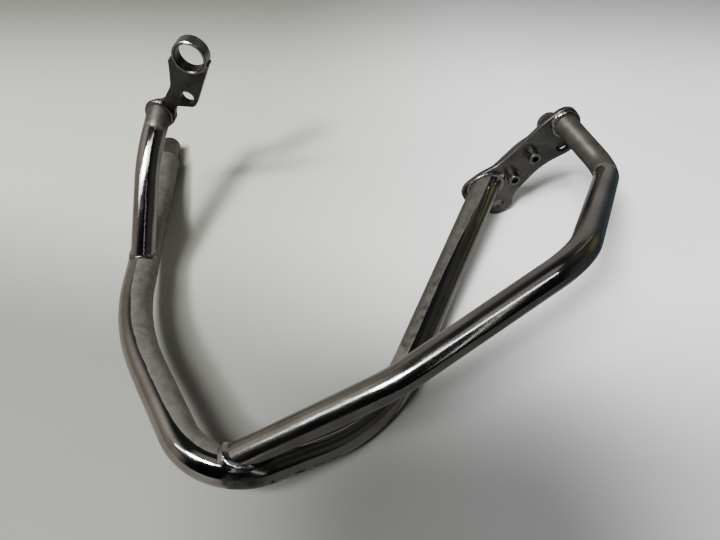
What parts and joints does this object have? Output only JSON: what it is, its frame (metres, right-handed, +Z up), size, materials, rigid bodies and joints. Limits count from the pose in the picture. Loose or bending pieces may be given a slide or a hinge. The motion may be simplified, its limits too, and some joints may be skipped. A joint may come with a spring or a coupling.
{
  "type": "motorcycle crash bar",
  "caption": "One side of a motorcycle crash bar: bent and welded steel tubes with a hoop, a ringed front lug and a bolted rear plate.",
  "frame": {"origin": "middle of the part's box in plan, on the floor it lies on", "axes": "+X across the part from the open end of the main tube to the rear plate's side, +Y from the near corner towards the lug and the plate, +Z up from the floor"},
  "size_m": [0.4838, 0.421, 0.1985],
  "materials": {
    "tube_steel": "polished stainless steel with dull, scuffed patches",
    "plate_steel": "flat ground stainless steel",
    "screw_steel": "turned stainless steel",
    "weld_metal": "polished weld bead"
  },
  "bodies": {
    "root": {"main_tube": "tube_steel", "joiner_spigot": "tube_steel", "hoop_tube": "tube_steel", "upright_tube": "tube_steel", "lug_plate": "plate_steel", "lug_ring": "plate_steel", "rear_plate": "plate_steel", "rear_bracket": "plate_steel", "cap_screws": "screw_steel", "screw_washers": "screw_steel", "screw_nuts": "screw_steel", "weld_hoop_main": "weld_metal", "weld_upright_main": "weld_metal", "weld_upright_lug": "weld_metal", "weld_ring_lug": "weld_metal", "weld_main_plate": "weld_metal", "weld_hoop_plate": "weld_metal"}
  },
  "joints": []
}
